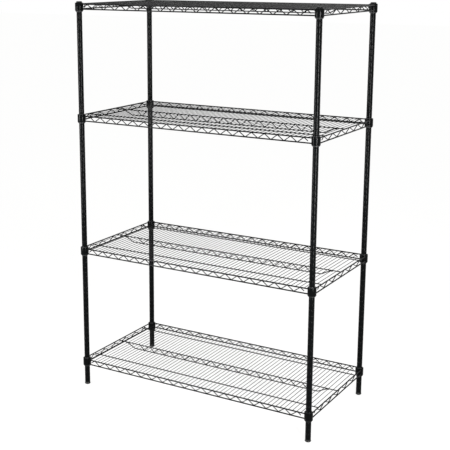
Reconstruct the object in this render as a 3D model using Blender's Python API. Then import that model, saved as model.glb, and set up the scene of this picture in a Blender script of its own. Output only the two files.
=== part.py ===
"""Wire shelving rack: four grooved tube posts, four welded wire shelves wedged on split sleeves, and
levelling feet. Metres, +Z up. The rack stands on z = 0, centred on the origin. Its width runs along X
and its front faces -Y.
"""

import math

import bmesh
import bpy
from mathutils import Vector

# Posts. The tube is rolled with a locating groove every inch. Each has here the grooves that are in use.
post_radius = 0.0127
post_wall = 0.0013
post_length = 1.8288
groove_pitch = 0.0254
groove_depth = 0.0007
groove_half_height = 0.0016

# Shelf heights, in grooves.
bottom_shelf_over_post_foot = 4
lower_shelf_over_bottom = 22
upper_shelf_under_top = 20
top_shelf_under_post_top = 1

# Shelves. Width and depth are measured over the corner collars.
shelf_width = 1.2192
shelf_depth = 0.6096
truss_height = 0.028
collar_wall = 0.0023
collar_above_truss = 0.003
collar_below_truss = 0.005
rail_outboard = 0.0115
rail_thickness = 0.0058
mat_thickness = 0.0027
mat_pitch = 0.020
mat_end_room = 0.005
snake_thickness = 0.004
long_snake_pitch = 0.060
end_snake_pitch = 0.0905
snake_tail_run = 0.018
snake_tail_drop = 0.012
stringer_thickness = 0.0046
stringer_inboard = 0.090
chord_drop = 0.024
chord_bend_start = 0.086
chord_bend_end = 0.044
chord_landing = 0.012
weld_thickness = 0.0024
weld_bite = 0.001

# Split sleeves. They taper, small end up, and the collar wedges down on them.
sleeve_height = 0.042
sleeve_below_truss = 0.009
sleeve_top_wall = 0.0016
sleeve_bottom_wall = 0.0034
ridge_above_truss_foot = 0.0095
sleeve_seam = 0.0006

# Post ends and feet.
cap_dome_height = 0.0025
cap_dome_edge = 0.0022
cap_plug_depth = 0.012
socket_flange = 0.002
socket_plug_depth = 0.026
foot_radius = 0.014
foot_height = 0.010
foot_edge = 0.003
foot_crown_radius = 0.0124
stud_radius = 0.0047
stud_length = 0.032

# Clearances and rounding.
fit_gap = 0.0003
flush_step = 0.0001
cutter_overshoot = 0.0006
round_facets = 10
collar_facets = 12
smooth_angle = math.radians(40)

post_grooves = int(round(post_length / groove_pitch, 3))
shelf_grooves = {
    "bottom": bottom_shelf_over_post_foot,
    "lower": bottom_shelf_over_post_foot + lower_shelf_over_bottom,
    "upper": post_grooves - top_shelf_under_post_top - upper_shelf_under_top,
    "top": post_grooves - top_shelf_under_post_top,
}

sleeve_bore = post_radius + fit_gap
sleeve_top_radius = sleeve_bore + sleeve_top_wall
sleeve_bottom_radius = sleeve_bore + sleeve_bottom_wall
collar_radius = sleeve_bottom_radius + fit_gap + collar_wall
post_x = shelf_width / 2 - collar_radius
post_y = shelf_depth / 2 - collar_radius
corners = {
    "front_left": (-post_x, -post_y),
    "front_right": (post_x, -post_y),
    "back_left": (-post_x, post_y),
    "back_right": (post_x, post_y),
}
post_foot_z = foot_height + fit_gap + socket_flange + fit_gap
post_top_z = post_foot_z + post_length
post_bore = post_radius - post_wall
rail_x = post_x + rail_outboard
rail_y = post_y + rail_outboard
rail_corner = rail_thickness / 2 / math.cos(math.pi / 6)
stringer_corner = stringer_thickness / 2 / math.cos(math.pi / 6)
low_rail_z = rail_thickness / 2
high_rail_z = truss_height - rail_thickness / 2
mat_z = truss_height - flush_step - mat_thickness / 2
under_mat_z = mat_z - mat_thickness / 2 - fit_gap
stringer_z = under_mat_z - stringer_thickness / 2
low_chord_z = stringer_z - chord_drop
snake_inboard = rail_corner + fit_gap + snake_thickness / 2
centre_snake_y = stringer_corner + fit_gap + snake_thickness / 2
sleeve_bottom_z = -sleeve_below_truss
sleeve_top_z = sleeve_height - sleeve_below_truss

along_x = Vector((1, 0, 0))
upwards = Vector((0, 0, 1))
toward_front = Vector((0, -1, 0))


def shelf_height(groove):
    """Height of the underside of the truss on a shelf that hangs on this groove, counted upwards."""
    return post_foot_z + groove * groove_pitch - ridge_above_truss_foot


# Shape helpers


def turned(mesh, profile, axis=(0, 0), first=0.0, turn=math.tau, steps=round_facets, ring=False):
    """Turns (radius, z) points round a vertical axis. A ring's profile is closed; others get flat ends."""
    whole = math.isclose(turn, math.tau)
    centre = Vector((*axis, 0))
    columns = []
    for step in range(steps if whole else steps + 1):
        angle = first + turn * step / steps
        outwards = Vector((math.cos(angle), math.sin(angle), 0))
        columns.append([mesh.verts.new(centre + outwards * r + upwards * z) for r, z in profile])
    pairs = list(zip(columns, columns[1:] + columns[:1]))
    for near, far in pairs if whole else pairs[:-1]:
        for row in range(len(profile) - (0 if ring else 1)):
            after = (row + 1) % len(profile)
            mesh.faces.new((near[row], far[row], far[after], near[after]))
    if not whole:
        mesh.faces.new(columns[0])
        mesh.faces.new(columns[-1])
    if whole and not ring:
        mesh.faces.new([column[0] for column in columns])
        mesh.faces.new([column[-1] for column in columns])


def wire(mesh, path, across, section):
    """Sweeps (across, lift) section points along a path that lies in one plane, with mitred bends."""
    rings = []
    for index, point in enumerate(path):
        before = point - path[index - 1] if index else path[1] - point
        after = path[index + 1] - point if index + 1 < len(path) else before
        tangent = (before.normalized() + after.normalized()).normalized()
        lift = across.cross(tangent) / tangent.dot(after.normalized())
        rings.append([mesh.verts.new(point + across * u + lift * v) for u, v in section])
    for near, far in zip(rings, rings[1:]):
        for side in range(len(section)):
            after = (side + 1) % len(section)
            mesh.faces.new((near[side], near[after], far[after], far[side]))
    mesh.faces.new(rings[0])
    mesh.faces.new(rings[-1])


def hexagon(thickness):
    """Six-sided section of a round wire, flat above and below."""
    corner = thickness / 2 / math.cos(math.pi / 6)
    return [(corner * math.cos(math.tau * k / 6), corner * math.sin(math.tau * k / 6)) for k in range(6)]


def flat_topped(thickness):
    """Three-sided section of a wire, flat where goods or other wires lie on it."""
    half = thickness / 2
    return [(-half, half), (half, half), (0, -half)]


def flat_sided(thickness, side):
    """Three-sided section of a zigzag wire, flat on the side that lies against the rails."""
    half = thickness / 2
    return [(side * half, -half), (side * half, half), (-side * half, 0)]


def mesh_from(name, fill):
    """A closed mesh, with its faces turned outwards, from a function that fills a bmesh."""
    shape = bmesh.new()
    fill(shape)
    bmesh.ops.recalc_face_normals(shape, faces=shape.faces)
    mesh = bpy.data.meshes.new(name)
    shape.to_mesh(mesh)
    shape.free()
    return mesh


def finish(mesh, material):
    mesh.materials.clear()
    mesh.materials.append(material)
    mesh.shade_smooth()
    mesh.set_sharp_from_angle(angle=smooth_angle)


def place(name, mesh, parent, location, turn_z=0.0):
    piece = bpy.data.objects.new(name, mesh)
    bpy.context.collection.objects.link(piece)
    piece.parent = parent
    piece.location = location
    piece.rotation_euler.z = turn_z
    return piece


def empty(name, parent, location):
    return place(name, None, parent, location)


def finish_material(name, colour, roughness, metallic):
    material = bpy.data.materials.new(name)
    material.use_nodes = True
    surface = material.node_tree.nodes["Principled BSDF"]
    surface.inputs["Base Color"].default_value = (*colour, 1)
    surface.inputs["Roughness"].default_value = roughness
    surface.inputs["Metallic"].default_value = metallic
    material.diffuse_color = (*colour, 1)
    return material


# Posts, caps, sockets and feet


def fill_post(mesh):
    """A tube with the rolled groove of each shelf."""
    profile = [(post_bore, 0), (post_radius, 0)]
    for groove in sorted(shelf_grooves.values()):
        z = groove * groove_pitch
        profile.append((post_radius, z - groove_half_height))
        profile.append((post_radius - groove_depth, z))
        profile.append((post_radius, z + groove_half_height))
    profile += [(post_radius, post_length), (post_bore, post_length)]
    turned(mesh, profile, ring=True)


def fill_cap(mesh):
    """A press-in plug with a low domed head."""
    plug = post_bore - fit_gap
    profile = [
        (plug, -cap_plug_depth),
        (plug, fit_gap),
        (post_radius, fit_gap),
        (post_radius - cap_dome_edge, fit_gap + cap_dome_height),
    ]
    turned(mesh, profile)


def fill_socket(mesh):
    """A press-in socket for the foot's stud, with a flange under the tube's end."""
    plug = post_bore - fit_gap
    hole = stud_radius + fit_gap
    flange_top = -fit_gap
    flange_bottom = flange_top - socket_flange
    profile = [
        (hole, flange_bottom),
        (post_radius, flange_bottom),
        (post_radius, flange_top),
        (plug, flange_top),
        (plug, flange_top + socket_plug_depth),
        (hole, flange_top + socket_plug_depth),
    ]
    turned(mesh, profile, ring=True)


def fill_foot(mesh):
    """A round-edged foot with its stud."""
    profile = [
        (foot_radius - foot_edge, 0),
        (foot_radius, foot_edge),
        (foot_crown_radius, foot_height),
        (stud_radius, foot_height),
        (stud_radius, foot_height + stud_length),
    ]
    turned(mesh, profile)


# Split sleeves


def sleeve_radius(z):
    """Outside radius of the tapered sleeve at a height over the underside of the truss."""
    share = (z - sleeve_bottom_z) / sleeve_height
    return sleeve_bottom_radius + (sleeve_top_radius - sleeve_bottom_radius) * share


def fill_sleeve_half(mesh):
    """Half of a tapered sleeve. The ridge in its bore sits in the post's groove."""
    ridge_z = ridge_above_truss_foot
    profile = [
        (sleeve_top_radius, sleeve_top_z),
        (sleeve_bottom_radius, sleeve_bottom_z),
        (sleeve_bore, sleeve_bottom_z),
        (sleeve_bore, ridge_z - groove_half_height),
        (sleeve_bore - groove_depth, ridge_z),
        (sleeve_bore, ridge_z + groove_half_height),
        (sleeve_bore, sleeve_top_z),
    ]
    seam_angle = math.asin(sleeve_seam / 2 / sleeve_bore)
    half_turn = math.pi - 2 * seam_angle
    turned(mesh, profile, first=seam_angle, turn=half_turn, steps=round_facets // 2, ring=True)


# Welded shelf


def zigzag(half_room, pitch, low_z, high_z):
    """(along, z) points of a zigzag wire that peaks at both ends and has as many bays as fit."""
    bays = int(2 * half_room / pitch)
    start = -bays * pitch / 2
    points = []
    for bay in range(bays):
        points += [(start + bay * pitch, high_z), (start + (bay + 0.5) * pitch, low_z)]
    return points + [(-start, high_z)]


def with_tails(points):
    """The same zigzag, with the short free tails that run down and outwards from its last peaks."""
    along, z = points[-1]
    tail = (along + snake_tail_run, z - snake_tail_drop)
    return [(-tail[0], tail[1]), *points, tail]


def side_snake(half_length, pitch):
    """Zigzag of a front, back or end truss, kept clear of the collars and under the mat wires."""
    half_room = half_length - collar_radius - snake_tail_run
    rise = math.atan2(high_rail_z - low_rail_z, pitch / 2)
    peak_z = under_mat_z - snake_thickness / 2 / math.cos(rise)
    return with_tails(zigzag(half_room, pitch, low_rail_z, peak_z))


def centre_snake():
    half_room = post_x - chord_bend_start
    rise = math.atan2(chord_drop, long_snake_pitch / 2)
    peak_z = under_mat_z - snake_thickness / 2 / math.cos(rise)
    return zigzag(half_room, long_snake_pitch, low_chord_z, peak_z)


def fill_collars(mesh):
    profile = [(collar_radius, -collar_below_truss), (collar_radius, truss_height + collar_above_truss)]
    for axis in corners.values():
        turned(mesh, profile, axis, steps=collar_facets)


def fill_bores(mesh):
    """Tapered cutters that leave each collar's bore one gap wider than its sleeve."""
    low = -collar_below_truss - cutter_overshoot
    high = truss_height + collar_above_truss + cutter_overshoot
    profile = [(sleeve_radius(low) + fit_gap, low), (sleeve_radius(high) + fit_gap, high)]
    for axis in corners.values():
        turned(mesh, profile, axis)


def fill_long_wires(mesh):
    """Front and back rails, the stringers under the mat and the centre truss's upper chord."""
    rail_end = post_x - sleeve_top_radius / 2
    for z in (low_rail_z, high_rail_z):
        for y in (-rail_y, rail_y):
            ends = [Vector((-rail_end, y, z)), Vector((rail_end, y, z))]
            wire(mesh, ends, toward_front, hexagon(rail_thickness))
    for y, section in (
        (-rail_y + stringer_inboard, flat_topped(stringer_thickness)),
        (0, hexagon(stringer_thickness)),
        (rail_y - stringer_inboard, flat_topped(stringer_thickness)),
    ):
        ends = [Vector((-rail_x, y, stringer_z)), Vector((rail_x, y, stringer_z))]
        wire(mesh, ends, toward_front, section)


def fill_end_wires(mesh):
    """Left and right rails, and the centre truss's lower chord, which bends up to the upper one."""
    rail_end = post_y - sleeve_top_radius / 2
    for z in (low_rail_z, high_rail_z):
        for x in (-rail_x, rail_x):
            ends = [Vector((x, -rail_end, z)), Vector((x, rail_end, z))]
            wire(mesh, ends, along_x, hexagon(rail_thickness))
    landed_z = stringer_z - stringer_thickness + weld_bite
    half = [
        (post_x - chord_bend_end + chord_landing, landed_z),
        (post_x - chord_bend_end, landed_z),
        (post_x - chord_bend_start, low_chord_z),
    ]
    chord = [Vector((-x, 0, z)) for x, z in half] + [Vector((x, 0, z)) for x, z in reversed(half)]
    wire(mesh, chord, toward_front, hexagon(stringer_thickness))


def fill_mat(mesh):
    """Mat wires from the front rail to the back rail."""
    each_side = int((post_x - collar_radius - mat_end_room) / mat_pitch)
    for step in range(-each_side, each_side + 1):
        x = step * mat_pitch
        ends = [Vector((x, -rail_y, mat_z)), Vector((x, rail_y, mat_z))]
        wire(mesh, ends, along_x, flat_topped(mat_thickness))


def fill_snakes(mesh):
    """Zigzag wires of the four sides and of the centre truss."""
    for side in (-1, 1):
        y = -side * (rail_y - snake_inboard)
        path = [Vector((along, y, z)) for along, z in side_snake(post_x, long_snake_pitch)]
        wire(mesh, path, toward_front, flat_sided(snake_thickness, side))
        x = side * (rail_x - snake_inboard)
        path = [Vector((x, along, z)) for along, z in side_snake(post_y, end_snake_pitch)]
        wire(mesh, path, along_x, flat_sided(snake_thickness, side))
    path = [Vector((along, centre_snake_y, z)) for along, z in centre_snake()]
    wire(mesh, path, toward_front, flat_sided(snake_thickness, 1))


def last_low_bend(points):
    """Distance from the middle of a zigzag wire to the outermost of its low bends."""
    low_z = min(z for along, z in points)
    return max(along for along, z in points if z == low_z)


def fill_welds(mesh):
    """The welds that hold each zigzag wire to its low rail, or low chord, at its outermost low bends."""
    weld = flat_topped(weld_thickness)
    long_bend = last_low_bend(side_snake(post_x, long_snake_pitch))
    end_bend = last_low_bend(side_snake(post_y, end_snake_pitch))
    centre_bend = last_low_bend(centre_snake())
    for end in (-1, 1):
        for side in (-1, 1):
            x = end * long_bend
            rail = Vector((x, side * rail_y, low_rail_z))
            snake = Vector((x, side * (rail_y - snake_inboard), low_rail_z))
            wire(mesh, [rail, snake], along_x, weld)
            y = end * end_bend
            rail = Vector((side * rail_x, y, low_rail_z))
            snake = Vector((side * (rail_x - snake_inboard), y, low_rail_z))
            wire(mesh, [rail, snake], toward_front, weld)
        chord = Vector((end * centre_bend, 0, low_chord_z))
        snake = Vector((end * centre_bend, centre_snake_y, low_chord_z))
        wire(mesh, [chord, snake], along_x, weld)


def welded_shelf_mesh():
    """All the wires fused to the four collars, and the tapered bores cut last."""
    shelf = place("shelf_blank", mesh_from("collars", fill_collars), None, (0, 0, 0))
    helpers = []
    for name, fill, operation in (
        ("long_wires", fill_long_wires, "UNION"),
        ("end_wires", fill_end_wires, "UNION"),
        ("mat_wires", fill_mat, "UNION"),
        ("zigzag_wires", fill_snakes, "UNION"),
        ("welds", fill_welds, "UNION"),
        ("tapered_bores", fill_bores, "DIFFERENCE"),
    ):
        helper = place(name, mesh_from(name, fill), None, (0, 0, 0))
        helper.hide_render = True
        helper.display_type = "WIRE"
        step = shelf.modifiers.new(name, "BOOLEAN")
        step.operation = operation
        step.solver = "EXACT"
        step.object = helper
        helpers.append(helper)
    bpy.context.view_layer.update()
    graph = bpy.context.evaluated_depsgraph_get()
    mesh = bpy.data.meshes.new_from_object(shelf.evaluated_get(graph))
    mesh.name = "welded_shelf"
    for helper in [shelf, *helpers]:
        bpy.data.objects.remove(helper, do_unlink=True)
    return mesh


def build_rack():
    for thing in list(bpy.data.objects):
        bpy.data.objects.remove(thing, do_unlink=True)
    coated_steel = finish_material("black_epoxy_steel", (0.012, 0.013, 0.014), 0.38, 0.0)
    moulded = finish_material("black_moulded_plastic", (0.016, 0.016, 0.018), 0.5, 0.0)
    foot_steel = finish_material("blackened_steel_foot", (0.02, 0.02, 0.02), 0.45, 0.6)

    post = mesh_from("post", fill_post)
    cap = mesh_from("cap", fill_cap)
    socket = mesh_from("foot_socket", fill_socket)
    foot = mesh_from("foot", fill_foot)
    sleeve_half = mesh_from("sleeve_half", fill_sleeve_half)
    shelf = welded_shelf_mesh()
    for mesh, material in (
        (post, coated_steel),
        (cap, moulded),
        (socket, moulded),
        (foot, foot_steel),
        (sleeve_half, moulded),
        (shelf, coated_steel),
    ):
        finish(mesh, material)

    rack = empty("rack", None, (0, 0, 0))
    for corner, (x, y) in corners.items():
        place(f"post_{corner}", post, rack, (x, y, post_foot_z))
        place(f"cap_{corner}", cap, rack, (x, y, post_top_z))
        place(f"foot_socket_{corner}", socket, rack, (x, y, post_foot_z))
        place(f"foot_{corner}", foot, rack, (x, y, 0))
    for level, groove in shelf_grooves.items():
        seat = empty(f"{level}_level", rack, (0, 0, shelf_height(groove)))
        place(f"shelf_{level}", shelf, seat, (0, 0, 0))
        for corner, (x, y) in corners.items():
            place(f"sleeve_{level}_{corner}_back_half", sleeve_half, seat, (x, y, 0))
            place(f"sleeve_{level}_{corner}_front_half", sleeve_half, seat, (x, y, 0), turn_z=math.pi)


build_rack()
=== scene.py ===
import math

import bmesh
import bpy
from mathutils import Matrix, Vector


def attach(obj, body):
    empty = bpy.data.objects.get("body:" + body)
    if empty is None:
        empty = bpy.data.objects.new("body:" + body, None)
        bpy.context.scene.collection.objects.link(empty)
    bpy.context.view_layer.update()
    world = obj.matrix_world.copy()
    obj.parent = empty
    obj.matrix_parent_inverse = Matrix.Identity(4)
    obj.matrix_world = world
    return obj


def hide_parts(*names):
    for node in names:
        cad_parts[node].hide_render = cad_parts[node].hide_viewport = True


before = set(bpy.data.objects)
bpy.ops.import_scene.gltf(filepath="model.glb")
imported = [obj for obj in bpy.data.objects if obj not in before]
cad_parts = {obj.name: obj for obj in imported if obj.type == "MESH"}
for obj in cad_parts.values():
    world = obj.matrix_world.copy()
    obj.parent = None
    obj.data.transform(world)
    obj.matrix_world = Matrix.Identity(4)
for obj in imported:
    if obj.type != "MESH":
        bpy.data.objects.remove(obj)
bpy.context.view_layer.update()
print("packed rack loaded")

# The rack: grooved posts, and the groove that each shelf hangs on
rack = {
    "postX": 0.5906,
    "postY": 0.2858,
    "postFoot": 0.0126,
    "postGrooves": 72,
    "groovePitch": 0.0254,
    "shelfGroove": {"bottom": 4, "lower": 26, "upper": 51, "top": 71},
    "ridgeHeight": 0.0095,  # sleeve ridge over the underside of the shelf
}
corners = {
    "front_left": Vector((-rack["postX"], -rack["postY"], 0)),
    "front_right": Vector((rack["postX"], -rack["postY"], 0)),
    "back_left": Vector((-rack["postX"], rack["postY"], 0)),
    "back_right": Vector((rack["postX"], rack["postY"], 0)),
}
postFoot = Vector((0, 0, rack["postFoot"]))
postLength = rack["postGrooves"] * rack["groovePitch"]
postTop = postFoot + Vector((0, 0, postLength))
shelfSeat = {
    level: postFoot + Vector((0, 0, groove * rack["groovePitch"] - rack["ridgeHeight"]))
    for level, groove in rack["shelfGroove"].items()
}


# Meshes


def roundedOutline(points, arcSteps=3, closed=False):
    # (across, height, rounding) corners made into (across, height) points with arcs
    outline = []
    for index, (across, height, rounding) in enumerate(points):
        corner = Vector((across, height))
        isEnd = not closed and index in (0, len(points) - 1)
        if isEnd or not rounding:
            outline.append(corner)
            continue
        back = (Vector(points[index - 1][:2]) - corner).normalized()
        ahead = (Vector(points[(index + 1) % len(points)][:2]) - corner).normalized()
        halfAngle = back.angle(ahead) / 2
        centre = corner + (back + ahead).normalized() * rounding / math.sin(halfAngle)
        arcStart = corner + back * rounding / math.tan(halfAngle) - centre
        arcEnd = corner + ahead * rounding / math.tan(halfAngle) - centre
        for step in range(arcSteps + 1):
            share = step / arcSteps
            outline.append(centre + (arcStart * (1 - share) + arcEnd * share).normalized() * rounding)
    return outline


def cleanMesh(name, shape, mergeWithin=1e-6):
    bmesh.ops.remove_doubles(shape, verts=shape.verts, dist=mergeWithin)
    bmesh.ops.dissolve_degenerate(shape, edges=shape.edges, dist=mergeWithin / 2)
    bmesh.ops.recalc_face_normals(shape, faces=shape.faces)
    mesh = bpy.data.meshes.new(name)
    shape.to_mesh(mesh)
    shape.free()
    return mesh


def turnedMesh(name, outline, sides, closed=False, firstAngle=0.0, turn=math.tau):
    # An outline turned round Z. A part turn gets flat ends.
    whole = math.isclose(turn, math.tau)
    shape = bmesh.new()
    columns = []
    for step in range(sides if whole else sides + 1):
        angle = firstAngle + turn * step / sides
        outwards = Vector((math.cos(angle), math.sin(angle), 0))
        columns.append([shape.verts.new(outwards * r + Vector((0, 0, z))) for r, z in outline])
    pairs = list(zip(columns, columns[1:] + columns[:1]))
    for near, far in pairs if whole else pairs[:-1]:
        for row in range(len(outline) - (0 if closed else 1)):
            after = (row + 1) % len(outline)
            shape.faces.new((near[row], far[row], far[after], near[after]))
    if not whole:
        shape.faces.new(columns[0])
        shape.faces.new(columns[-1])
    return cleanMesh(name, shape)


def nuggetMesh(centre, size):
    # A spot weld: a ball 1 across stretched to size, of 18 faces because there are hundreds
    shape = bmesh.new()
    bmesh.ops.create_uvsphere(shape, u_segments=6, v_segments=3, radius=0.5)
    for point in shape.verts:
        point.co = Vector(centre) + point.co * Vector(size)
    return cleanMesh("nugget", shape)


def moved(mesh, offset):
    copy = mesh.copy()
    copy.transform(Matrix.Translation(offset))
    return copy


def joined(name, meshes, mergeWithin=None):
    shape = bmesh.new()
    for mesh in meshes:
        shape.from_mesh(mesh)
    if mergeWithin:
        return cleanMesh(name, shape, mergeWithin)
    mesh = bpy.data.meshes.new(name)
    shape.to_mesh(mesh)
    shape.free()
    return mesh


def addObject(name, data):
    thing = bpy.data.objects.new(name, data)
    bpy.context.scene.collection.objects.link(thing)
    return thing


# Node trees


def addNode(tree, kind, inputs=(), **settings):
    # One node with its settings. An input takes a value, or another node's output.
    node = tree.nodes.new(kind)
    for setting, value in settings.items():
        setattr(node, setting, value)
    for socket, value in dict(inputs).items():
        if isinstance(value, bpy.types.NodeSocket):
            tree.links.new(value, node.inputs[socket])
        else:
            node.inputs[socket].default_value = value
    return node


def startGeometryTree(name, sockets):
    tree = bpy.data.node_groups.new(name, "GeometryNodeTree")
    tree.is_modifier = True
    for socketName, kind in {"Geometry": "NodeSocketGeometry", **sockets}.items():
        tree.interface.new_socket(socketName, in_out="INPUT", socket_type=kind)
    tree.interface.new_socket("Geometry", in_out="OUTPUT", socket_type="NodeSocketGeometry")
    return tree, addNode(tree, "NodeGroupInput").outputs


def endGeometryTree(tree, geometry, material):
    real = addNode(tree, "GeometryNodeRealizeInstances", {"Geometry": geometry})
    coated = addNode(
        tree, "GeometryNodeSetMaterial", {"Geometry": real.outputs[0], "Material": material}
    )
    addNode(tree, "NodeGroupOutput", {"Geometry": coated.outputs[0]})


def makeBentWireTree():
    # A round wire that follows a path, with each corner bent to a radius
    tree, given = startGeometryTree(
        "bentWire",
        {
            "Diameter": "NodeSocketFloat",
            "Bend Radius": "NodeSocketFloat",
            "Bend Steps": "NodeSocketInt",
            "Sides": "NodeSocketInt",
            "Material": "NodeSocketMaterial",
        },
    )
    path = addNode(tree, "GeometryNodeMeshToCurve", {"Mesh": given["Geometry"]})
    bent = addNode(
        tree,
        "GeometryNodeFilletCurve",
        {"Curve": path.outputs[0], "Count": given["Bend Steps"], "Radius": given["Bend Radius"]},
        mode="POLY",
    )
    half = addNode(tree, "ShaderNodeMath", {0: given["Diameter"], 1: 0.5}, operation="MULTIPLY")
    section = addNode(
        tree,
        "GeometryNodeCurvePrimitiveCircle",
        {"Resolution": given["Sides"], "Radius": half.outputs[0]},
    )
    wire = addNode(
        tree,
        "GeometryNodeCurveToMesh",
        {"Curve": bent.outputs[0], "Profile Curve": section.outputs[0], "Fill Caps": True},
    )
    endGeometryTree(tree, wire.outputs[0], given["Material"])
    return tree


def makeRowTree():
    # One piece repeated in a straight row, and sewn where its copies meet
    tree, given = startGeometryTree(
        "rowOfPieces",
        {
            "Count": "NodeSocketInt",
            "Step": "NodeSocketVector",
            "Sew Within": "NodeSocketFloat",
            "Material": "NodeSocketMaterial",
        },
    )
    row = addNode(
        tree, "GeometryNodeMeshLine", {"Count": given["Count"], "Offset": given["Step"]}, mode="OFFSET"
    )
    placed = addNode(
        tree, "GeometryNodeInstanceOnPoints", {"Points": row.outputs[0], "Instance": given["Geometry"]}
    )
    real = addNode(tree, "GeometryNodeRealizeInstances", {"Geometry": placed.outputs[0]})
    sewn = addNode(
        tree,
        "GeometryNodeMergeByDistance",
        {"Geometry": real.outputs[0], "Distance": given["Sew Within"]},
    )
    endGeometryTree(tree, sewn.outputs[0], given["Material"])
    return tree


def plainMesh(worker):
    # What the modifiers make of the object, as a mesh. The object is taken away.
    graph = bpy.context.evaluated_depsgraph_get()
    mesh = bpy.data.meshes.new_from_object(worker.evaluated_get(graph))
    worker.modifiers.clear()
    bpy.data.objects.remove(worker)
    return mesh


def madeByTree(source, tree, values):
    worker = addObject("worker", source)
    modifier = worker.modifiers.new(tree.name, "NODES")
    modifier.node_group = tree
    for socket in tree.interface.items_tree:
        if socket.in_out == "INPUT" and socket.name in values:
            modifier[socket.identifier] = values[socket.name]
    return plainMesh(worker)


bendSteps = 5


def wireAlong(points, diameter, material, bendRadius=0.0, sides=12):
    path = bpy.data.meshes.new("path")
    links = [(i, i + 1) for i in range(len(points) - 1)]
    path.from_pydata([Vector(point) for point in points], links, [])
    values = {
        "Diameter": diameter,
        "Bend Radius": bendRadius,
        "Bend Steps": bendSteps,
        "Sides": sides,
        "Material": material,
    }
    return madeByTree(path, bentWireTree, values)


def rowOf(piece, count, step, material, sewWithin=0.0):
    values = {"Count": count, "Step": step, "Sew Within": sewWithin, "Material": material}
    return madeByTree(piece, rowTree, values)


bentWireTree = makeBentWireTree()
rowTree = makeRowTree()


# Finishes


def linear(hexColour):
    # An sRGB colour in linear light
    channels = [int(hexColour[i : i + 2], 16) / 255 for i in (1, 3, 5)]
    return (*[c / 12.92 if c <= 0.04045 else ((c + 0.055) / 1.055) ** 2.4 for c in channels], 1.0)


def noise(tree, where, millimetres, detail):
    # Blotches about this wide
    inputs = {"Vector": where, "Scale": 1000 / millimetres, "Detail": detail}
    return addNode(tree, "ShaderNodeTexNoise", inputs).outputs["Fac"]


def mixedColour(tree, factor, first, second):
    # Inputs 6 and 7 of this node are its two colours, and output 2 is the mixed one
    inputs = {"Factor": factor, 6: first, 7: second}
    return addNode(tree, "ShaderNodeMix", inputs, data_type="RGBA").outputs[2]


# What the three finishes have in common
finishNoise = {
    "driftDetail": 3.0,
    "fleckDetail": 4.0,
    "grainDetail": 2.0,
    "rubbedRange": (0.62, 0.76),  # of the fleck noise: where rubbing starts, and where it is full
    "glossRange": (0.3, 0.7),  # of the drift noise, from the first roughness to the second
}


def makeFinish(name, look):
    # A tone that drifts over the piece, a fine bump, and a gloss that goes with the tone
    material = bpy.data.materials.new(name)
    material.use_nodes = True
    tree = material.node_tree
    surface = tree.nodes["Principled BSDF"]
    where = addNode(tree, "ShaderNodeTexCoord").outputs["Object"]
    drift = noise(tree, where, look["driftSize"], finishNoise["driftDetail"])
    fleck = noise(tree, where, look["fleckSize"], finishNoise["fleckDetail"])
    tone = mixedColour(tree, drift, linear(look["dark"]), linear(look["light"]))
    rubbed = addNode(
        tree,
        "ShaderNodeMapRange",
        {
            "Value": fleck,
            "From Min": finishNoise["rubbedRange"][0],
            "From Max": finishNoise["rubbedRange"][1],
            "To Max": look["rubbing"],
        },
    )
    colour = mixedColour(tree, rubbed.outputs[0], tone, linear(look["rubbed"]))
    gloss = addNode(
        tree,
        "ShaderNodeMapRange",
        {
            "Value": drift,
            "From Min": finishNoise["glossRange"][0],
            "From Max": finishNoise["glossRange"][1],
            "To Min": look["roughness"][0],
            "To Max": look["roughness"][1],
        },
    )
    peel = noise(tree, where, look["grainSize"], finishNoise["grainDetail"])
    bump = addNode(
        tree, "ShaderNodeBump", {"Strength": 1.0, "Distance": look["grainHeight"], "Height": peel}
    )
    tree.links.new(colour, surface.inputs["Base Color"])
    tree.links.new(gloss.outputs[0], surface.inputs["Roughness"])
    tree.links.new(bump.outputs[0], surface.inputs["Normal"])
    surface.inputs["Specular IOR Level"].default_value = look["specular"]
    surface.inputs["Metallic"].default_value = look["metallic"]
    return material


# Epoxy powder flows into one black film: deep black, semi-gloss, with a faint orange peel.
epoxyPowderCoat = makeFinish(
    "blackEpoxyPowderCoat",
    {
        "dark": "#020303",
        "light": "#08090a",
        "driftSize": 70,
        "rubbed": "#1d2123",
        "fleckSize": 9,
        "rubbing": 0.4,
        "grainSize": 2.2,  # orange peel, drawn coarser than the real 1 mm so that it shows
        "grainHeight": 0.00003,
        "roughness": (0.15, 0.24),
        "specular": 0.05,
        "metallic": 0.0,
    },
)
# Moulded acetal: black right through, with the even satin of a spark-eroded mould.
mouldedAcetal = makeFinish(
    "blackMouldedAcetal",
    {
        "dark": "#101112",
        "light": "#191b1c",
        "driftSize": 25,
        "rubbed": "#2a2c2d",
        "fleckSize": 5,
        "rubbing": 0.35,
        "grainSize": 0.9,
        "grainHeight": 0.00004,
        "roughness": (0.42, 0.55),
        "specular": 0.3,
        "metallic": 0.0,
    },
)
# Turned steel, chemically blackened: a dark oxide that shows bare steel where it rubs.
blackenedSteel = makeFinish(
    "blackenedSteel",
    {
        "dark": "#1a1a1a",
        "light": "#2a2a29",
        "driftSize": 12,
        "rubbed": "#55524d",
        "fleckSize": 4,
        "rubbing": 0.6,
        "grainSize": 1.2,
        "grainHeight": 0.00005,
        "roughness": (0.36, 0.5),
        "specular": 0.5,
        "metallic": 0.7,
    },
)
print("finishes made")


sharpAngle = math.radians(42)


def addPiece(name, mesh, material, body, nodes):
    mesh.materials.clear()
    mesh.materials.append(material)
    mesh.shade_smooth()
    mesh.set_sharp_from_angle(angle=sharpAngle)
    piece = addObject(name, mesh)
    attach(piece, body)
    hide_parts(*nodes)
    return piece


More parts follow.
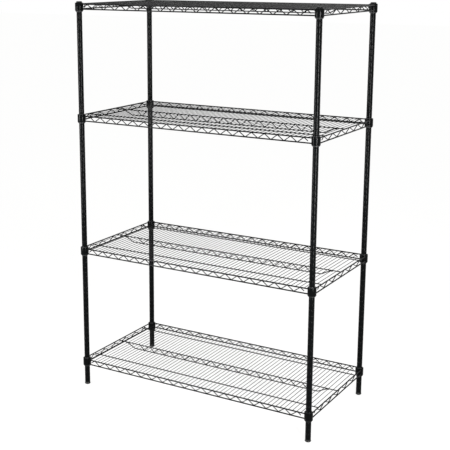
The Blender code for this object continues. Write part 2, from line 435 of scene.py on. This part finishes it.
# Post: a steel tube, rolled with a shallow groove every inch
post = {
    "radius": 0.0127,
    "bore": 0.0114,
    "grooveDepth": 0.0007,
    "grooveHalfHeight": 0.0017,
    "shoulderRounding": 0.0022,
    "grooveRounding": 0.0016,
    "rimRounding": 0.00035,
    "sewWithin": 0.00001,
    "sides": 48,
}


def makePostMesh():
    radius, halfPitch = post["radius"], rack["groovePitch"] / 2
    rolled = [
        (radius, -halfPitch, 0),
        (radius, -post["grooveHalfHeight"], post["shoulderRounding"]),
        (radius - post["grooveDepth"], 0, post["grooveRounding"]),
        (radius, post["grooveHalfHeight"], post["shoulderRounding"]),
        (radius, halfPitch, 0),
    ]
    grooved = moved(
        turnedMesh("grooved", roundedOutline(rolled, arcSteps=2), post["sides"]),
        Vector((0, 0, rack["groovePitch"])),
    )
    outside = rowOf(
        grooved,
        rack["postGrooves"] - 1,
        (0, 0, rack["groovePitch"]),
        epoxyPowderCoat,
        sewWithin=post["sewWithin"],
    )
    endsAndBore = [
        (radius, halfPitch, 0),
        (radius, 0, post["rimRounding"]),
        (post["bore"], 0, post["rimRounding"]),
        (post["bore"], postLength, post["rimRounding"]),
        (radius, postLength, post["rimRounding"]),
        (radius, postLength - halfPitch, 0),
    ]
    inside = turnedMesh("inside", roundedOutline(endsAndBore), post["sides"])
    return joined("post", [outside, inside], mergeWithin=post["sewWithin"])


postMesh = makePostMesh()
for corner, axis in corners.items():
    addPiece(
        f"groovedTube_{corner}",
        moved(postMesh, axis + postFoot),
        epoxyPowderCoat,
        "posts_and_sleeves",
        [f"post_{corner}"],
    )
print("posts rolled")


# Cap: a press-in plug with a low domed head
cap = {
    "plugRadius": 0.0111,
    "plugDepth": 0.012,
    "seat": 0.0003,
    "headRadius": 0.0127,
    "headHeight": 0.0025,
    "edgeRounding": 0.0017,
    "seatRounding": 0.0002,
    "plugRounding": 0.0006,
    "dome": 0.0004,
    "sides": 48,
}


def makeCapMesh():
    headTop = cap["seat"] + cap["headHeight"]
    return turnedMesh(
        "cap",
        roundedOutline(
            [
                (0, -cap["plugDepth"], 0),
                (cap["plugRadius"], -cap["plugDepth"], cap["plugRounding"]),
                (cap["plugRadius"], cap["seat"], 0),
                (cap["headRadius"], cap["seat"], cap["seatRounding"]),
                (cap["headRadius"], headTop - cap["dome"], cap["edgeRounding"]),
                (0, headTop, 0),
            ],
            arcSteps=5,
        ),
        cap["sides"],
    )


# Socket: a moulded plug with a flange under the tube, which holds the foot's stud
socket = {
    "hole": 0.0050,
    "plugRadius": 0.0111,
    "plugTop": 0.0257,
    "flangeRadius": 0.0127,
    "flangeTop": -0.0003,
    "flangeBottom": -0.0023,
    "holeRounding": 0.0003,
    "flangeRounding": 0.0007,
    "seatRounding": 0.0002,
    "plugRounding": 0.0006,
    "sides": 40,
}


def makeSocketMesh():
    return turnedMesh(
        "socket",
        roundedOutline(
            [
                (socket["hole"], socket["flangeBottom"], socket["holeRounding"]),
                (socket["flangeRadius"], socket["flangeBottom"], socket["flangeRounding"]),
                (socket["flangeRadius"], socket["flangeTop"], socket["seatRounding"]),
                (socket["plugRadius"], socket["flangeTop"], 0),
                (socket["plugRadius"], socket["plugTop"], socket["plugRounding"]),
                (socket["hole"], socket["plugTop"], socket["holeRounding"]),
            ],
            closed=True,
        ),
        socket["sides"],
        closed=True,
    )


# Foot: a turned steel button with a threaded stud
foot = {
    "radius": 0.0140,
    "height": 0.0100,
    "soleRadius": 0.0108,
    "waistHeight": 0.0036,
    "crownRadius": 0.0124,
    "soleRounding": 0.0016,
    "waistRounding": 0.0022,
    "crownRounding": 0.0014,
    "studRadius": 0.0047,
    "threadRoot": 0.0041,
    "threadPitch": 0.00125,
    "plainStud": 0.001,  # left without a thread at each end of the stud
    "studChamfer": 0.0005,
    "studLength": 0.032,
    "sides": 40,
}


def makeFootMesh():
    outline = roundedOutline(
        [
            (0, 0, 0),
            (foot["soleRadius"], 0, foot["soleRounding"]),
            (foot["radius"], foot["waistHeight"], foot["waistRounding"]),
            (foot["crownRadius"], foot["height"], foot["crownRounding"]),
            (foot["threadRoot"], foot["height"], 0),
        ],
        arcSteps=4,
    )
    turns = int((foot["studLength"] - 2 * foot["plainStud"]) / foot["threadPitch"])
    for turn in range(turns):
        z = foot["height"] + foot["plainStud"] + turn * foot["threadPitch"]
        outline.append((foot["threadRoot"], z))
        outline.append((foot["studRadius"], z + foot["threadPitch"] / 2))
    studTop = foot["height"] + foot["studLength"]
    outline += [
        (foot["threadRoot"], studTop - foot["studChamfer"]),
        (foot["threadRoot"] - foot["studChamfer"], studTop),
        (0, studTop),
    ]
    return turnedMesh("foot", outline, foot["sides"])


capMesh, socketMesh, footMesh = makeCapMesh(), makeSocketMesh(), makeFootMesh()
for corner, axis in corners.items():
    addPiece(
        f"domedCap_{corner}",
        moved(capMesh, axis + postTop),
        mouldedAcetal,
        "posts_and_sleeves",
        [f"cap_{corner}"],
    )
    addPiece(
        f"studSocket_{corner}",
        moved(socketMesh, axis + postFoot),
        mouldedAcetal,
        "posts_and_sleeves",
        [f"foot_socket_{corner}"],
    )
    addPiece(
        f"turnedFoot_{corner}",
        moved(footMesh, axis),
        blackenedSteel,
        f"{corner}_foot",
        [f"foot_{corner}"],
    )
print("caps, sockets and feet turned")


# Split sleeve: two halves whose taper wedges the collar, and whose ridge sits in the groove
sleeve = {
    "bore": 0.0130,
    "topRadius": 0.0146,
    "bottomRadius": 0.0164,
    "top": 0.033,
    "bottom": -0.009,
    "ridgeDepth": 0.0006,
    "ridgeHalfHeight": 0.0014,
    "edgeRounding": 0.0005,
    "boreRounding": 0.0003,
    "ridgeRounding": 0.0005,
    "seam": 0.0006,
    "sides": 24,  # of each half
}


def sleeveRadius(z):
    share = (z - sleeve["bottom"]) / (sleeve["top"] - sleeve["bottom"])
    return sleeve["bottomRadius"] + (sleeve["topRadius"] - sleeve["bottomRadius"]) * share


def makeSleeveHalf(firstSide):
    ridge = rack["ridgeHeight"]
    outline = roundedOutline(
        [
            (sleeve["topRadius"], sleeve["top"], sleeve["edgeRounding"]),
            (sleeve["bottomRadius"], sleeve["bottom"], sleeve["edgeRounding"]),
            (sleeve["bore"], sleeve["bottom"], sleeve["boreRounding"]),
            (sleeve["bore"], ridge - sleeve["ridgeHalfHeight"], 0),
            (sleeve["bore"] - sleeve["ridgeDepth"], ridge, sleeve["ridgeRounding"]),
            (sleeve["bore"], ridge + sleeve["ridgeHalfHeight"], 0),
            (sleeve["bore"], sleeve["top"], sleeve["boreRounding"]),
        ],
        closed=True,
    )
    seamAngle = math.asin(sleeve["seam"] / 2 / sleeve["bore"])
    return turnedMesh(
        "sleeveHalf",
        outline,
        sleeve["sides"],
        closed=True,
        firstAngle=firstSide + seamAngle,
        turn=math.pi - 2 * seamAngle,
    )


sleeveHalves = {"back": makeSleeveHalf(0), "front": makeSleeveHalf(math.pi)}
for level, seat in shelfSeat.items():
    for corner, axis in corners.items():
        for side, half in sleeveHalves.items():
            addPiece(
                f"taperedSleeve_{level}_{corner}_{side}",
                moved(half, axis + seat),
                mouldedAcetal,
                "posts_and_sleeves",
                [f"sleeve_{level}_{corner}_{side}_half"],
            )
print("sleeves clipped on")


# Shelf frame: four tapered collars, with two rails from collar to collar on each side
shelfFrame = {
    "collarRadius": 0.0190,
    "collarTop": 0.031,
    "collarBottom": -0.005,
    "collarClearance": 0.0003,
    "lipRounding": 0.0008,
    "collarSides": 56,
    "boreOvershoot": 0.001,
    "railThickness": 0.0058,
    "lowRail": 0.0029,
    "highRail": 0.0251,
    "railOutboard": 0.0115,
    "railShort": 0.010,  # of the post's axis: inside the collar, where its bore trims the rail
    "railSides": 16,
    "beadSize": (0.0052, 0.0060, 0.0066),  # along the rail, across it and up
    "longBeadShare": 0.9995,  # of the rail's distance from the middle
    "endBeadShare": 0.9997,
}
railX = rack["postX"] + shelfFrame["railOutboard"]
railY = rack["postY"] + shelfFrame["railOutboard"]
railHeights = (shelfFrame["lowRail"], shelfFrame["highRail"])


def collarBore(z):
    return sleeveRadius(z) + shelfFrame["collarClearance"]


def makeCollarMesh():
    top, bottom = shelfFrame["collarTop"], shelfFrame["collarBottom"]
    lip = shelfFrame["lipRounding"]
    outline = roundedOutline(
        [
            (shelfFrame["collarRadius"], bottom, lip),
            (shelfFrame["collarRadius"], top, lip),
            (collarBore(top), top, lip / 2),
            (collarBore(bottom), bottom, lip / 2),
        ],
        closed=True,
    )
    return turnedMesh("collar", outline, shelfFrame["collarSides"], closed=True)


def trimmedByBores(mesh):
    # The rails end flush with the collars' bores
    low = shelfFrame["collarBottom"] - shelfFrame["boreOvershoot"]
    high = shelfFrame["collarTop"] + shelfFrame["boreOvershoot"]
    outline = [(0, low), (collarBore(low), low), (collarBore(high), high), (0, high)]
    cone = turnedMesh("cone", outline, shelfFrame["collarSides"])
    cutter = addObject("cutter", joined("cones", [moved(cone, axis) for axis in corners.values()]))
    worker = addObject("worker", mesh)
    cut = worker.modifiers.new("bores", "BOOLEAN")
    cut.operation, cut.solver, cut.object = "DIFFERENCE", "EXACT", cutter
    trimmed = plainMesh(worker)
    bpy.data.objects.remove(cutter)
    return trimmed


def railBetween(start, end):
    thickness, sides = shelfFrame["railThickness"], shelfFrame["railSides"]
    return wireAlong([start, end], thickness, epoxyPowderCoat, sides=sides)


def makeFrameMesh():
    longEnd = rack["postX"] - shelfFrame["railShort"]
    shortEnd = rack["postY"] - shelfFrame["railShort"]
    onCollar = math.sqrt(shelfFrame["collarRadius"] ** 2 - shelfFrame["railOutboard"] ** 2)
    beadAlong, beadAcross, beadHeight = shelfFrame["beadSize"]
    rails, beads = [], []
    for z in railHeights:
        for side in (-1, 1):
            y, x = side * railY, side * railX
            rails.append(railBetween((-longEnd, y, z), (longEnd, y, z)))
            rails.append(railBetween((x, -shortEnd, z), (x, shortEnd, z)))
            longBeadY, endBeadX = y * shelfFrame["longBeadShare"], x * shelfFrame["endBeadShare"]
            for end in (-1, 1):
                alongX = end * (rack["postX"] - onCollar)
                alongY = end * (rack["postY"] - onCollar)
                beads.append(nuggetMesh((alongX, longBeadY, z), (beadAlong, beadAcross, beadHeight)))
                beads.append(nuggetMesh((endBeadX, alongY, z), (beadAcross, beadAlong, beadHeight)))
    collars = [moved(makeCollarMesh(), axis) for axis in corners.values()]
    return joined("shelfFrame", [trimmedByBores(joined("rails", rails + beads)), *collars])


# Mat: straight wires from the front rail to the back rail, spot welded where they cross. The
# last wire of each end would meet the collars, so it is short and ends just past the stringers.
mat = {
    "thickness": 0.0027,
    "height": 0.02655,
    "pitch": 0.020,
    "wires": 57,
    "shortWireX": 0.583,
    "pastStringer": 0.006,
    "nuggetAtRail": (0.0037, 0.0026, 0.0026),
    "nuggetAtStringer": (0.0034, 0.0036, 0.0014),
    "sunkAtRail": 0.0001,  # nugget's middle, under the wire's middle
    "sunkAtStringer": 0.0002,  # nugget's middle, under the wire's underside
    "sides": 10,
}
# Stringers: they carry the mat from below, between the end rails
stringer = {"thickness": 0.0046, "height": 0.0226, "inboard": 0.090}
stringerY = railY - stringer["inboard"]


def makeMatMesh():
    ends = [(0, -railY, mat["height"]), (0, railY, mat["height"])]
    wire = wireAlong(ends, mat["thickness"], epoxyPowderCoat, sides=mat["sides"])
    atRail = railY - shelfFrame["railThickness"] / 2
    beside = mat["height"] - mat["sunkAtRail"]
    under = mat["height"] - mat["thickness"] / 2 - mat["sunkAtStringer"]
    nuggets = [nuggetMesh((0, y, beside), mat["nuggetAtRail"]) for y in (-atRail, atRail)]
    nuggets += [
        nuggetMesh((0, y, under), mat["nuggetAtStringer"]) for y in (-stringerY, 0, stringerY)
    ]
    firstWire = Vector((-(mat["wires"] - 1) / 2 * mat["pitch"], 0, 0))
    welded = moved(joined("weldedWire", [wire, *nuggets]), firstWire)
    row = rowOf(welded, mat["wires"], (mat["pitch"], 0, 0), epoxyPowderCoat)
    reach = stringerY + mat["pastStringer"]
    shortEnds = [(0, -reach, mat["height"]), (0, reach, mat["height"])]
    shortWire = wireAlong(shortEnds, mat["thickness"], epoxyPowderCoat, sides=mat["sides"])
    short = joined("shortWire", [shortWire, *nuggets[2:]])
    lastPair = [moved(short, Vector((x, 0, 0))) for x in (-mat["shortWireX"], mat["shortWireX"])]
    return joined("matWires", [row, *lastPair])


# Zigzag wires: they stand between the two rails of each side, with a short free tail at each end
zigzag = {
    "thickness": 0.004,
    "bendRadius": 0.0055,
    "longPitch": 0.060,
    "longBays": 18,
    "endPitch": 0.0905,
    "endBays": 5,
    "tailRun": 0.018,
    "tailDrop": 0.012,
    "inboard": 0.0048,  # wire against rail
    "top": 0.0227,
    "bottom": 0.0029,
    "topWeld": 0.0239,
    "weldInboard": 0.0001,  # nugget's middle, inboard of the rail's skin
    "nugget": 0.0030,
    "nuggetStretch": (1.6, 0.8, 1.0),  # along the rail, across it and up
    "sides": 10,
}
nuggetSize = [zigzag["nugget"] * stretch for stretch in zigzag["nuggetStretch"]]


def zigzagPath(pitch, bays, low, high, tails):
    # (along, height) corners, which stand out so that each bend lies at the height asked for
    rise = math.atan2(high - low, pitch / 2)
    beyond = zigzag["bendRadius"] * (1 / math.cos(rise) - 1)
    start = -bays * pitch / 2
    points = []
    for bay in range(bays):
        points += [(start + bay * pitch, high + beyond), (start + (bay + 0.5) * pitch, low - beyond)]
    points.append((-start, high + beyond))
    if tails:
        tail = (-start + zigzag["tailRun"], high - zigzag["tailDrop"])
        points = [(-tail[0], tail[1]), *points, tail]
    return points


def zigzagBends(pitch, bays):
    # (along, is it a low one) for each bend
    return [(-bays * pitch / 2 + step * pitch / 2, step % 2) for step in range(2 * bays + 1)]


def onSide(kind, along, across, up):
    # Measures along and across a long or an end side, as X, Y and Z
    return (along, across, up) if kind == "long" else (across, along, up)


def zigzagWire(line):
    thickness, radius = zigzag["thickness"], zigzag["bendRadius"]
    return wireAlong(line, thickness, epoxyPowderCoat, radius, zigzag["sides"])


def makeZigzagMesh():
    wires, nuggets = [], []
    toWeld = shelfFrame["railThickness"] / 2 + zigzag["weldInboard"]
    for kind, rail in {"long": railY, "end": railX}.items():
        pitch, bays = zigzag[f"{kind}Pitch"], zigzag[f"{kind}Bays"]
        path = zigzagPath(pitch, bays, zigzag["bottom"], zigzag["top"], tails=True)
        for side in (-1, 1):
            across, weld = side * (rail - zigzag["inboard"]), side * (rail - toWeld)
            for along, low in zigzagBends(pitch, bays):
                height = zigzag["bottom"] if low else zigzag["topWeld"]
                centre = onSide(kind, along, weld, height)
                nuggets.append(nuggetMesh(centre, onSide(kind, *nuggetSize)))
            wires.append(zigzagWire([onSide(kind, along, across, z) for along, z in path]))
    return joined("zigzags", wires + nuggets)


# Centre truss: an upper chord under the mat, a lower chord that bends up to it, and a zigzag
centreTruss = {
    "lowChord": -0.0014,
    "bendStart": 0.5046,
    "bendEnd": 0.5466,
    "landing": 0.5586,
    "landedHeight": 0.0190,
    "chordBendRadius": 0.014,
    "zigzagPitch": 0.060,
    "zigzagBays": 16,
    "zigzagTop": 0.0224,
    "zigzagAcross": 0.0042,
    "weldAcross": 0.0024,
}


def makeCentreMesh():
    thickness, height = stringer["thickness"], stringer["height"]
    long = [
        wireAlong([(-railX, y, height), (railX, y, height)], thickness, epoxyPowderCoat)
        for y in (-stringerY, 0, stringerY)
    ]
    half = [
        (centreTruss["landing"], centreTruss["landedHeight"]),
        (centreTruss["bendEnd"], centreTruss["landedHeight"]),
        (centreTruss["bendStart"], centreTruss["lowChord"]),
    ]
    line = [(-x, 0, z) for x, z in half] + [(x, 0, z) for x, z in reversed(half)]
    long.append(wireAlong(line, thickness, epoxyPowderCoat, centreTruss["chordBendRadius"]))
    pitch, bays = centreTruss["zigzagPitch"], centreTruss["zigzagBays"]
    heights = (centreTruss["zigzagTop"], centreTruss["lowChord"])
    path = zigzagPath(pitch, bays, heights[1], heights[0], tails=False)
    long.append(zigzagWire([(along, centreTruss["zigzagAcross"], z) for along, z in path]))
    nuggets = [
        nuggetMesh((along, centreTruss["weldAcross"], heights[low]), nuggetSize)
        for along, low in zigzagBends(pitch, bays)
    ]
    return joined("centreTruss", long + nuggets)


shelfParts = {
    "collarsAndRails": makeFrameMesh(),
    "matWires": makeMatMesh(),
    "zigzagWires": makeZigzagMesh(),
    "stringersAndTruss": makeCentreMesh(),
}
for level, seat in shelfSeat.items():
    for name, mesh in shelfParts.items():
        addPiece(
            f"{name}_{level}",
            moved(mesh, seat),
            epoxyPowderCoat,
            f"{level}_shelf",
            [f"shelf_{level}"],
        )
print("shelves welded")


# Studio: a pale floor that fades into white, even light all round and two upright softboxes.
# They end below the top mat. Taller ones shine off its wires in a view from behind.
studio = {
    "floorSize": 60.0,
    "floorColour": "#e8e8e6",
    "paperShare": 0.4,  # of the paper's own light and shade, with white for the rest
    "whiteLevel": 0.81,
    "skyLight": 0.55,
    "gridSpread": 70,  # degrees, of the honeycomb grids that keep their light off the floor
    "softboxes": {
        # name: (azimuth from the front, distance, height of the middle, width, length, watts)
        "right": (50, 2.9, 1.05, 0.4, 1.5, 23),
        "left": (-31, 2.9, 1.05, 0.3, 1.5, 17),
    },
}


def seenAsBackground(tree):
    # 1 for what the camera sees directly, in a mirror or through glass
    path = addNode(tree, "ShaderNodeLightPath").outputs
    share = path["Is Camera Ray"]
    for kind in ("Is Glossy Ray", "Is Transmission Ray"):
        either = addNode(tree, "ShaderNodeMath", {0: share, 1: path[kind]}, operation="MAXIMUM")
        share = either.outputs[0]
    return share


def makeFloor():
    half = studio["floorSize"] / 2
    mesh = bpy.data.meshes.new("studioFloor")
    square = [(-half, -half, 0), (half, -half, 0), (half, half, 0), (-half, half, 0)]
    mesh.from_pydata(square, [], [(0, 1, 2, 3)])
    floor = addObject("studioFloor", mesh)
    material = bpy.data.materials.new("paleStudioPaper")
    material.use_nodes = True
    tree = material.node_tree
    tree.nodes.clear()
    background = seenAsBackground(tree)
    whiteShare = 1 - studio["paperShare"]
    share = addNode(
        tree, "ShaderNodeMapRange", {"Value": background, "To Min": 0.0, "To Max": whiteShare}
    )
    level = addNode(
        tree,
        "ShaderNodeMath",
        {0: background, 1: studio["whiteLevel"] / whiteShare},
        operation="MULTIPLY",
    )
    paper = addNode(tree, "ShaderNodeBsdfDiffuse", {"Color": linear(studio["floorColour"])})
    glow = addNode(tree, "ShaderNodeEmission", {"Strength": level.outputs[0]})
    both = addNode(
        tree, "ShaderNodeMixShader", {"Fac": share.outputs[0], 1: paper.outputs[0], 2: glow.outputs[0]}
    )
    addNode(tree, "ShaderNodeOutputMaterial", {"Surface": both.outputs[0]})
    mesh.materials.append(material)


def makeWorld():
    world = bpy.data.worlds.new("paleStudio")
    bpy.context.scene.world = world
    world.use_nodes = True
    tree = world.node_tree
    strength = addNode(
        tree,
        "ShaderNodeMapRange",
        {"Value": seenAsBackground(tree), "To Min": studio["skyLight"], "To Max": 1.0},
    )
    background = tree.nodes["Background"]
    background.inputs["Color"].default_value = (1, 1, 1, 1)
    tree.links.new(strength.outputs[0], background.inputs["Strength"])


def addSoftbox(name, place, aim, width, length, watts):
    lamp = bpy.data.lights.new(name, "AREA")
    lamp.shape = "RECTANGLE"
    lamp.size, lamp.size_y, lamp.energy = width, length, watts
    lamp.spread = math.radians(studio["gridSpread"])
    softbox = addObject(name, lamp)
    softbox.location = place
    softbox.rotation_euler = (Vector(aim) - Vector(place)).to_track_quat("-Z", "Y").to_euler()


def makeLights():
    for name, (azimuth, distance, height, width, length, watts) in studio["softboxes"].items():
        angle = math.radians(azimuth)
        place = (distance * math.sin(angle), -distance * math.cos(angle), height)
        addSoftbox(f"{name}Softbox", place, (0, 0, height), width, length, watts)


# Camera: fitted to the posts and rails in the photograph, with angles in degrees
photoCamera = {
    "lens": 80.28,
    "shift": (0.08, -0.09),
    "place": (2.2312, -3.9537, 1.9996),
    "tilt": 77.711,
    "turn": 31.415,
}


def makeCamera():
    lens = bpy.data.cameras.new("photoCamera")
    lens.lens = photoCamera["lens"]
    lens.shift_x, lens.shift_y = photoCamera["shift"]
    camera = addObject("photoCamera", lens)
    camera.location = photoCamera["place"]
    tilt, turn = math.radians(photoCamera["tilt"]), math.radians(photoCamera["turn"])
    camera.rotation_euler = (tilt, 0, turn)
    bpy.context.scene.camera = camera


makeFloor()
makeWorld()
makeLights()
makeCamera()
bpy.context.scene.view_settings.view_transform = "Standard"
print("studio set")
